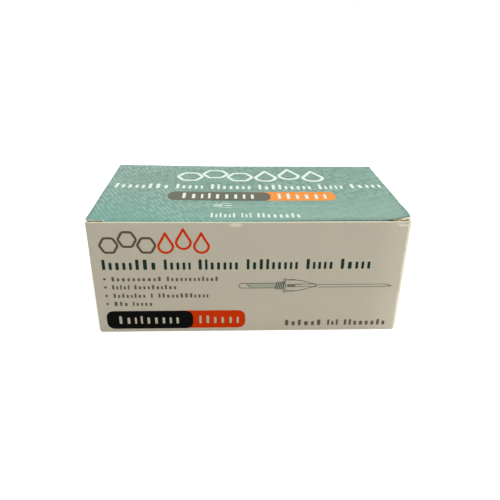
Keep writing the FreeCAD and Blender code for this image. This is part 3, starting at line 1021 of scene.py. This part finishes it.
class Sheet:
    """Gathers flat shapes of one ink, drawn in millimetres, then lays them on a face."""

    def __init__(self, name, ink):
        self.name = name
        self.ink = ink
        self.bm = bmesh.new()

    def round_corners(self, verts, corner):
        """Rounds the corners of a flat shape."""
        if corner > 0:
            bmesh.ops.bevel(self.bm, geom=verts, offset=corner, offset_type="OFFSET",
                            affect="VERTICES", segments=4, profile=0.5, material=-1)

    def settle(self, before, outline=0.0, across=0.0, along=0.0, turn=0.0):
        """Leaves a fresh shape whole or as an outline, then turns it and moves it into place."""
        bm = self.bm
        if outline > 0:
            fresh = [face for face in bm.faces
                     if all(vert not in before for vert in face.verts)]
            bmesh.ops.inset_region(bm, faces=fresh, thickness=outline, depth=0,
                                   use_boundary=True, use_even_offset=True)
            bmesh.ops.delete(bm, geom=fresh, context="FACES_ONLY")
        matrix = Matrix.Translation((across, along, 0)) @ Matrix.Rotation(turn, 4, "Z")
        bmesh.ops.transform(bm, matrix=matrix, verts=[vert for vert in bm.verts
                                                      if vert not in before])

    def block(self, across, along, width, height, corner=0.0, turn=0.0, outline=0.0):
        """A block with round corners, filled or drawn as an outline."""
        before = set(self.bm.verts)
        made = bmesh.ops.create_grid(self.bm, x_segments=1, y_segments=1, size=0.5)
        bmesh.ops.scale(self.bm, vec=(width, height, 1), verts=made["verts"])
        self.round_corners(made["verts"], min(corner, 0.499 * min(width, height)))
        self.settle(before, outline, across, along, turn)

    def shape(self, points):
        """A closed shape through a few points."""
        self.bm.faces.new([self.bm.verts.new((*point, 0)) for point in points])

    def cell(self, across, along, radius, outline):
        """A six-sided outline with soft corners."""
        before = set(self.bm.verts)
        made = bmesh.ops.create_circle(self.bm, cap_ends=True, segments=6, radius=radius)
        self.round_corners(made["verts"], radius * 0.22)
        self.settle(before, outline, across, along, math.pi / 6)

    def drop(self, across, along, radius, outline):
        """A drop: a round outline drawn up to a point."""
        before = set(self.bm.verts)
        made = bmesh.ops.create_circle(self.bm, cap_ends=True, segments=32, radius=radius)
        for vert in made["verts"]:
            lift = max(vert.co.y / radius, 0.0)
            vert.co.x *= 1 - 0.55 * lift * lift
            vert.co.y += radius * 0.85 * lift ** 3
        self.settle(before, outline, across, along - radius * 0.3)

    def row(self, spans, base, height, tiles, seed, tall, weight):
        """Words as rows of small upright tiles between the stated places."""
        chance = random.Random(seed)
        for (start, end), count in zip(spans, tiles):
            shares = [chance.uniform(0.85, 1.2) for _ in range(count)]
            pitch = (end - start) / sum(shares)
            place = start
            for index, share in enumerate(shares):
                rise = tall if index == 0 or chance.random() < 0.2 else 1.0
                width = pitch * share * weight
                self.block(place + pitch * share / 2, base + height * rise / 2, width,
                           height * rise, corner=min(width, height) * 0.3)
                place += pitch * share

    def lay(self, surface, body, slot, layer):
        """Lays the shapes on the face and lets them ride with it."""
        bm, size = self.bm, sizes()
        bmesh.ops.scale(bm, vec=(MM, MM, MM), verts=bm.verts[:])
        for axis in (0, 1):
            places = [vert.co[axis] for vert in bm.verts]
            low, high = min(places), max(places)
            cut_across(bm, axis, steps_between(low, high, int((high - low) / FILM_CUT) + 1))
        bmesh.ops.recalc_face_normals(bm, faces=bm.faces[:])
        flipped = [face for face in bm.faces if face.normal.z < 0]
        bmesh.ops.reverse_faces(bm, faces=flipped)
        for vert in bm.verts:
            vert.co = surface(vert.co.x, vert.co.y, layer * size.ink)
        piece = finished(self.name, bm, [self.ink], smooth=False)
        film = piece.modifiers.new("Ink film", "SOLIDIFY")
        film.thickness = size.ink * 0.8
        film.offset = -1
        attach(piece, body)


def on_front(across, height, lift):
    """A place on the front wall's face, lifted off it."""
    return Vector((across, wall_sink(across, height) - sizes().half_depth - lift, height))


def on_lid(across, along, lift):
    """A place on the lid's face, lifted off it."""
    along += math.tan(sizes().print_skew) * across
    return Vector((across, along, sizes().lid_top + lid_rise(across, along) + lift))


def spans_of(*numbers):
    """The numbers as pairs of a start and an end."""
    return list(zip(numbers[::2], numbers[1::2]))


class NeedleDrawing:
    """A plain drawing of a double-ended needle: sleeve, thread, flange, hub and tube.

    Its numbers are places and sizes in the drawing's own unit, from the sleeve's end along the
    needle's middle line. The scale gives that unit in millimetres.
    """

    def __init__(self, start, base, scale):
        self.start = start
        self.base = base
        self.scale = scale

    def at(self, across, up=0.0):
        """A place of the drawing, on the sheet."""
        return self.start + across * self.scale, self.base + up * self.scale

    def block(self, sheet, across, up, width, height, corner=0.0, outline=0.0, turn=0.0):
        """A block with round corners."""
        scale = self.scale
        sheet.block(*self.at(across, up), width * scale, height * scale, corner * scale, turn,
                    outline * scale)

    def shape(self, sheet, *points):
        """A closed shape through a few points."""
        sheet.shape([self.at(*point) for point in points])

    def lines(self, sheet, line):
        """Outlines of the sleeve, the hub and the tube."""
        self.block(sheet, 9.2, 0, 18.4, 3.0, corner=1.45, outline=line)
        self.shape(sheet, (3.6, 0.9), (5.6, -0.9), (6.1, -0.9), (4.4, 0.9))
        self.block(sheet, 22.0, 0, 1.1, 7.9, corner=0.4, outline=line)
        self.block(sheet, 26.4, 0.55, 8.2, 0.3)
        self.block(sheet, 26.4, -0.75, 8.2, 0.3)
        curve = ((27.2, 3.2), (30.4, 2.75), (33.0, 1.95), (35.4, 1.0))
        for side in (-1, 1):
            for (left, high), (right, low) in zip(curve, curve[1:]):
                self.shape(sheet, (left, side * high), (right, side * low),
                           (right, side * (low - line)), (left, side * (high - line)))
            self.shape(sheet, (27.2, side * 0.9), (34.6, side * 0.75),
                       (34.6, side * (0.75 - 0.7 * line)), (27.2, side * (0.9 - 0.7 * line)))
        for height in (0.35, -1.05):
            self.block(sheet, 54.4, height, 33.0, 0.7 * line)
        self.shape(sheet, (70.8, 0.5), (74.3, -0.45), (73.6, -0.85), (70.8, -1.1), (70.8, -0.8),
                   (73.0, -0.55), (70.8, 0.2))

    def thread(self, sheet):
        """The slanted turns of the thread."""
        for index in range(5):
            self.block(sheet, 18.1 + index * 0.86, 0, 0.46, 4.4, corner=0.2,
                       turn=math.radians(-12))

    def neck(self, sheet):
        """The hub's neck, where the tube starts."""
        for side in (-1, 1):
            self.shape(sheet, (34.6, side * 1.3), (37.3, side * 0.75), (37.3, side * 0.35),
                       (34.6, side * 0.9))
        self.block(sheet, 37.3, -0.1, 0.4, 1.4, corner=0.2)

    def rims(self, sheet):
        """The flange's rims and the shaft between them."""
        for height in (3.1, -3.1):
            self.block(sheet, 25.0, height, 4.4, 0.6, corner=0.2)
        self.block(sheet, 25.4, -0.1, 3.8, 0.9)

    def tint(self, sheet):
        """The tinted field inside the sleeve."""
        self.shape(sheet, (4.6, 1.15), (17.8, 1.15), (17.8, -1.15), (6.2, -1.15))


# Tiles in each word of a row. The colour fields' rows have their seeds beside them
TITLE_TILES = (8, 5, 7, 9, 5, 5)
COUNT_TILES = (6, 3, 8)
FIELD_TILES = ((9,), 2), ((6,), 3)


def row_of_three(draw, start, base, pitch, lift, radius, line):
    """Three cells or drops in a row, with the middle one lifted."""
    for index in range(3):
        draw(start + index * pitch, base + index % 2 * lift, radius, line)


def print_front():
    """All print on the front wall."""
    paint = colours()
    title = Sheet("front_title_row", ink_material("title_ink", paint.title))
    title.row(spans_of(-69.6, -43.0, -40.8, -26.9, -24.7, -4.7, -2.1, 23.5, 26.0, 40.0,
                       42.3, 58.1), 35.5, 3.8, TITLE_TILES, seed=4, tall=1.42, weight=0.46)

    fine = Sheet("front_fine_rows", ink_material("fine_ink", paint.fine))
    for base, spans, tiles in (
        (29.3, (-65.7, -41.4, -39.6, -14.5), (10, 12)),
        (24.8, (-65.7, -56.7, -55.3, -34.4), (5, 10)),
        (20.1, (-65.6, -49.4, -47.8, -45.9, -44.1, -19.2), (8, 1, 12)),
        (15.5, (-65.8, -58.2, -56.7, -46.5), (3, 5)),
    ):
        fine.row(spans_of(*spans), base, 1.75, tiles, seed=int(base), tall=1.4, weight=0.5)
        fine.block(-68.4, base + 1.2, 1.3, 1.3, corner=0.65)
    fine.row(spans_of(17.3, 36.7, 38.8, 45.2, 47.1, 69.0), 3.3, 2.4, COUNT_TILES, seed=9,
             tall=1.4, weight=0.5)

    cells = Sheet("front_mark_cells", ink_material("mark_ink", paint.mark))
    drops = Sheet("front_mark_drops", ink_material("red_ink", paint.red))
    row_of_three(cells.cell, -64.6, 48.2, pitch=8.6, lift=3.0, radius=4.9, line=1.15)
    row_of_three(drops.drop, -38.6, 48.9, pitch=8.2, lift=2.0, radius=3.9, line=1.15)

    dark_field = Sheet("front_dark_field", ink_material("black_ink", paint.black))
    dark_field.block(-48.6, 7.35, 42.2, 10.4, corner=3.4)
    red_field = Sheet("front_red_field", bpy.data.materials["red_ink"])
    red_field.block(-20.0, 7.5, 36.4, 10.3, corner=3.4)
    notes = Sheet("front_field_rows", ink_material("pale_ink", paint.board))
    for span, (tiles, seed) in zip(spans_of(-65.0, -33.4, -25.6, -3.9), FIELD_TILES):
        notes.row([span], 5.1, 3.6, tiles, seed, tall=1.25, weight=0.33)

    drawing = NeedleDrawing(-5.1, 26.6, 1.0)
    lines = Sheet("front_drawing_lines", ink_material("drawing_ink", paint.drawing))
    drawing.lines(lines, 0.36)
    dark_parts = Sheet("front_drawing_thread",
                       ink_material("dark_drawing_ink", paint.drawing_dark))
    drawing.thread(dark_parts)
    drawing.neck(dark_parts)
    tints = Sheet("front_drawing_tints", ink_material("drawing_tint", paint.drawing_fill))
    drawing.tint(tints)
    drawing.rims(lines)
    for sheet, layer in ((title, 1), (fine, 1), (cells, 1), (drops, 1), (red_field, 1),
                         (dark_field, 2), (notes, 3), (tints, 1), (lines, 2), (dark_parts, 3)):
        sheet.lay(on_front, "carton", "printed_board", layer)


def print_lid():
    """All print on the lid."""
    paint = colours()
    white = ink_material("white_ink", paint.lid_white)
    rows = Sheet("lid_rows", white)
    rows.row(spans_of(-70.4, -40.7, -38.5, -22.7, -20.3, 2.6, 5.1, 34.6, 37.1, 51.5,
                      54.0, 71.9), 2.5, 4.9, TITLE_TILES, seed=4, tall=1.45, weight=0.44)
    rows.row(spans_of(-18.5, -6.1, -4.2, 1.4, 3.0, 24.2), -36.2, 3.8, COUNT_TILES, seed=9,
             tall=1.4, weight=0.45)
    shapes = Sheet("lid_mark", white)
    row_of_three(shapes.cell, -31.2, 21.6, pitch=13.8, lift=4.6, radius=8.0, line=1.9)
    row_of_three(shapes.drop, 10.6, 22.6, pitch=13.2, lift=3.2, radius=6.4, line=1.9)
    grey = Sheet("lid_grey_field", ink_material("lid_grey_ink", paint.lid_grey))
    grey.block(-14.45, -8.2, 51.7, 12.4, corner=4.2)
    orange = Sheet("lid_orange_field", ink_material("lid_orange_ink", paint.lid_orange))
    orange.block(20.0, -7.9, 49.0, 12.4, corner=4.2)
    notes = Sheet("lid_field_rows", white)
    for span, (tiles, seed) in zip(spans_of(-34.8, 4.4, 13.8, 41.2), FIELD_TILES):
        notes.row([span], -11.6, 6.0, tiles, seed, tall=1.25, weight=0.33)
    drawing = NeedleDrawing(-33.0, -21.3, 0.905)
    lines = Sheet("lid_drawing_lines", ink_material("faint_white_ink", paint.lid_faint))
    drawing.lines(lines, 0.5)
    drawing.neck(lines)
    thread = Sheet("lid_drawing_thread", white)
    drawing.thread(thread)
    drawing.rims(thread)
    for sheet, layer in ((rows, 1), (shapes, 1), (orange, 1), (grey, 2), (notes, 3),
                         (lines, 1), (thread, 2)):
        sheet.lay(on_lid, "lid", "lid_board", layer)


# The needle cases

SHEATH, CAP, LABEL, SEAL = range(4)
RIB_SHARE = 0.95
CASE_GAP = 0.3 * MM


def case_outline():
    """Stations of a turned case from its front tip: place, radius and material."""
    size = sizes()
    end, wide = size.case_length / MM, size.case_width / MM / 2
    joint = end - size.cap_length / MM
    sheath = [(0.0, 0.0), (0.0, 2.3), (0.35, 3.0), (1.2, 3.2), (10, 3.3), (30, 3.6),
              (joint - 11, 3.8), (joint - 10, 4.05), (joint - 6.2, 4.1)]
    label = [(joint - 6.0, 4.18, LABEL), (joint - 4.6, 4.19, SEAL), (joint - 3.6, 4.2, LABEL),
             (joint - 0.25, 4.23, LABEL), (joint - 0.1, 4.12, SEAL), (joint + 0.1, 4.12, LABEL),
             (joint + 0.25, 4.24, LABEL), (joint + 7.8, 4.3, LABEL)]
    cap = [(joint + 8, wide), (joint + 9, wide), (joint + 10, wide - 0.25), (end - 4, wide - 0.45),
           (end - 1, 3.8), (end - 0.2, 3.3), (end, 2.6), (end, 0.0)]
    stations = [(*station, SHEATH) for station in sheath] + label
    stations += [(*station, CAP) for station in cap]
    return [(place * MM, radius * MM, kind) for place, radius, kind in stations]


def turned_case():
    """One needle case lying along Y with its tip at the origin, as a mesh to copy."""
    size = sizes()
    bm = bmesh.new()
    stations = case_outline()
    verts = [bm.verts.new((radius, place, 0)) for place, radius, _ in stations]
    edges = [bm.edges.new(pair) for pair in zip(verts, verts[1:])]
    bmesh.ops.spin(bm, geom=verts + edges, cent=(0, 0, 0), axis=(0, 1, 0), dvec=(0, 0, 0),
                   angle=math.tau, steps=size.case_steps, use_merge=True, use_duplicate=False)
    bmesh.ops.remove_doubles(bm, verts=bm.verts[:], dist=0.002 * MM)
    bmesh.ops.recalc_face_normals(bm, faces=bm.faces[:])
    for face in bm.faces:
        middle = face.calc_center_median().y
        below = [kind for place, _, kind in stations if place <= middle + SLACK]
        face.material_index = below[-1]
    rib_start = size.case_length - size.cap_length + 9.5 * MM
    rib_end = size.case_length - 3.5 * MM
    for vert in bm.verts:
        turn = math.atan2(vert.co.z, vert.co.x) / math.tau
        if rib_start < vert.co.y < rib_end and round(turn * size.case_steps) % 2:
            vert.co.x *= RIB_SHARE
            vert.co.z *= RIB_SHARE
    mesh = bpy.data.meshes.new("turned_case")
    bm.to_mesh(mesh)
    bm.free()
    return mesh


def case_places(node):
    """Where each case of a layer lies, read from the layer's own solids."""
    low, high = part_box(node)
    size = sizes()
    pitch = size.case_width + CASE_GAP
    count = round((high.x - low.x - size.case_width) / pitch) + 1
    height = (low.z + high.z) / 2
    return [Vector((low.x + size.case_width / 2 + index * pitch, low.y, height))
            for index in range(count)]


def needle_layers():
    """Every layer of cases, each turned a little about its own axis."""
    paint = colours()
    materials = [plastic_material("case_sheath", paint.sheath, 0.38),
                 plastic_material("case_cap", paint.cap, 0.45),
                 ink_material("case_label", paint.label),
                 ink_material("case_seal", paint.seal)]
    case = turned_case()
    for number, node in enumerate(NEEDLE_LAYERS, start=1):
        chance = random.Random(number)
        bm = bmesh.new()
        for place in case_places(node):
            before = len(bm.verts)
            bm.from_mesh(case)
            bm.verts.ensure_lookup_table()
            fresh = bm.verts[before:]
            turn = Matrix.Rotation(chance.uniform(0, math.tau), 4, "Y")
            bmesh.ops.transform(bm, matrix=Matrix.Translation(place) @ turn, verts=fresh)
        piece = finished(f"needle_cases_{number}", bm, materials)
        edge = piece.modifiers.new("Sharp steps", "EDGE_SPLIT")
        edge.split_angle = math.radians(24)
        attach(piece, "carton")
        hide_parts(node)
    bpy.data.meshes.remove(case)


# Stage

LAMP_TARGET = (0, 0, 0.03)
FLOOR_HALF = 4.0
FLOOR_GLOW = 0.68
ROOM_LIGHT = 0.38
CAMERA_LENS = 37.04
CAMERA_PLACE = (-7.93 * MM, -253.59 * MM, 152.83 * MM)
CAMERA_TURN = (63.26, -0.67, -1.84)


def area_light(name, place, size, energy, tint=(1, 1, 1)):
    """A square lamp that faces the carton."""
    data = bpy.data.lights.new(name, "AREA")
    data.shape = "SQUARE"
    data.size = size
    data.energy = energy
    data.color = tint
    lamp = placed(name, data)
    lamp.location = place
    aim = Vector(LAMP_TARGET) - Vector(place)
    lamp.rotation_euler = aim.to_track_quat("-Z", "Y").to_euler()


def seen_directly(graph):
    """1 where the ray comes from the camera, a mirror or clear glass."""
    path = graph.named("ShaderNodeLightPath")
    either = path["Is Camera Ray"].at_least(path["Is Glossy Ray"])
    return either.at_least(path["Is Transmission Ray"])


def pale_floor():
    """A floor that takes the carton's shadow and looks white where it is lit."""
    bm = bmesh.new()
    bmesh.ops.create_grid(bm, x_segments=1, y_segments=1, size=FLOOR_HALF)
    face = Surface("pale_floor", 0.9, gloss=0.0)
    face.shader["Base Color"].default_value = rgba(colours().floor)
    nodes = face.tree.nodes
    plain = Value(face, nodes["Principled BSDF"].outputs[0])
    glow = face.first("ShaderNodeEmission", {"Strength": FLOOR_GLOW})
    both = face.first("ShaderNodeAddShader", {0: plain, 1: glow})
    chosen = face.first("ShaderNodeMixShader", {"Fac": seen_directly(face), 1: plain, 2: both})
    face.feed(nodes["Material Output"].inputs["Surface"], chosen)
    floor = finished("floor", bm, [face.material], smooth=False)


def white_world():
    """A room that looks white and gives a soft, weaker light."""
    world = bpy.data.worlds.new("white_room")
    world.use_nodes = True
    bpy.context.scene.world = world
    graph = Graph(world.node_tree)
    background = world.node_tree.nodes["Background"]
    background.inputs["Color"].default_value = (1, 1, 1, 1)
    graph.feed(background.inputs["Strength"],
               seen_directly(graph) * (1 - ROOM_LIGHT) + ROOM_LIGHT)


def photo_camera():
    """The camera at the place that was fitted to the carton's corners in the photograph."""
    data = bpy.data.cameras.new("camera")
    data.sensor_width = 36.0
    data.lens = CAMERA_LENS
    camera = placed("camera", data)
    camera.location = CAMERA_PLACE
    camera.rotation_euler = [math.radians(angle) for angle in CAMERA_TURN]
    bpy.context.scene.camera = camera


# Operators, panel and registration

class CARTON_OT_fold_board(bpy.types.Operator):
    """Fold the carton's sheet and stand it for the carton node"""
    bl_idname = "carton.fold_board"
    bl_label = "Fold board"

    def execute(self, context):
        piece = folded_carton()
        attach(piece, "carton")
        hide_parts("carton")
        return {"FINISHED"}


class CARTON_OT_fold_lid(bpy.types.Operator):
    """Fold the lid with its tuck flap, and the back fold that it turns on"""
    bl_idname = "carton.fold_lid"
    bl_label = "Fold lid"

    def execute(self, context):
        piece = hinged_lid()
        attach(piece, "lid")
        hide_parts("lid")
        crease = hinge_fold()
        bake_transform(crease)
        return {"FINISHED"}


class CARTON_OT_print_front(bpy.types.Operator):
    """Lay the print on the front wall"""
    bl_idname = "carton.print_front"
    bl_label = "Print front"

    def execute(self, context):
        print_front()
        return {"FINISHED"}


class CARTON_OT_print_lid(bpy.types.Operator):
    """Lay the print on the lid"""
    bl_idname = "carton.print_lid"
    bl_label = "Print lid"

    def execute(self, context):
        print_lid()
        return {"FINISHED"}


class CARTON_OT_pack_needles(bpy.types.Operator):
    """Fill the carton with its layers of cased needles"""
    bl_idname = "carton.pack_needles"
    bl_label = "Pack needles"

    def execute(self, context):
        needle_layers()
        return {"FINISHED"}


class CARTON_OT_set_stage(bpy.types.Operator):
    """Set the floor, the light and the camera"""
    bl_idname = "carton.set_stage"
    bl_label = "Set stage"

    def execute(self, context):
        pale_floor()
        white_world()
        area_light("key", (0.5, 0.04, 0.9), 0.7, 6.2, (1.0, 0.985, 0.96))
        area_light("side", (0.95, 0.12, 0.3), 0.4, 1.4)
        area_light("fill", (0.1, -1.0, 0.16), 0.8, 2.6)
        area_light("back", (-0.5, 1.0, 0.16), 0.8, 1.6)
        photo_camera()
        context.scene.view_settings.view_transform = "Standard"
        return {"FINISHED"}


OPERATORS = (
    CARTON_OT_fold_board,
    CARTON_OT_fold_lid,
    CARTON_OT_print_front,
    CARTON_OT_print_lid,
    CARTON_OT_pack_needles,
    CARTON_OT_set_stage,
)


class CARTON_PT_sidebar(bpy.types.Panel):
    """The carton's steps, in the order in which they are run"""
    bl_idname = "CARTON_PT_sidebar"
    bl_label = "Needle carton"
    bl_space_type = "VIEW_3D"
    bl_region_type = "UI"
    bl_category = "Carton"

    def draw(self, context):
        for operator in OPERATORS:
            self.layout.operator(operator.bl_idname)


CLASSES = (CartonSizes, CartonColours, *OPERATORS, CARTON_PT_sidebar)


def register():
    """Adds the classes and the scene's sizes and colours."""
    for item in CLASSES:
        bpy.utils.register_class(item)
    bpy.types.Scene.carton_sizes = PointerProperty(type=CartonSizes)
    bpy.types.Scene.carton_colours = PointerProperty(type=CartonColours)


def unregister():
    """Takes the scene's sizes and colours and the classes away again."""
    del bpy.types.Scene.carton_colours
    del bpy.types.Scene.carton_sizes
    for item in reversed(CLASSES):
        bpy.utils.unregister_class(item)


def main():
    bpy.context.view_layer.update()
    register()
    for operator in OPERATORS:
        group, name = operator.bl_idname.split(".")
        if getattr(getattr(bpy.ops, group), name)() != {"FINISHED"}:
            raise RuntimeError(f"{operator.bl_label} did not finish")


if __name__ == "__main__":
    main()
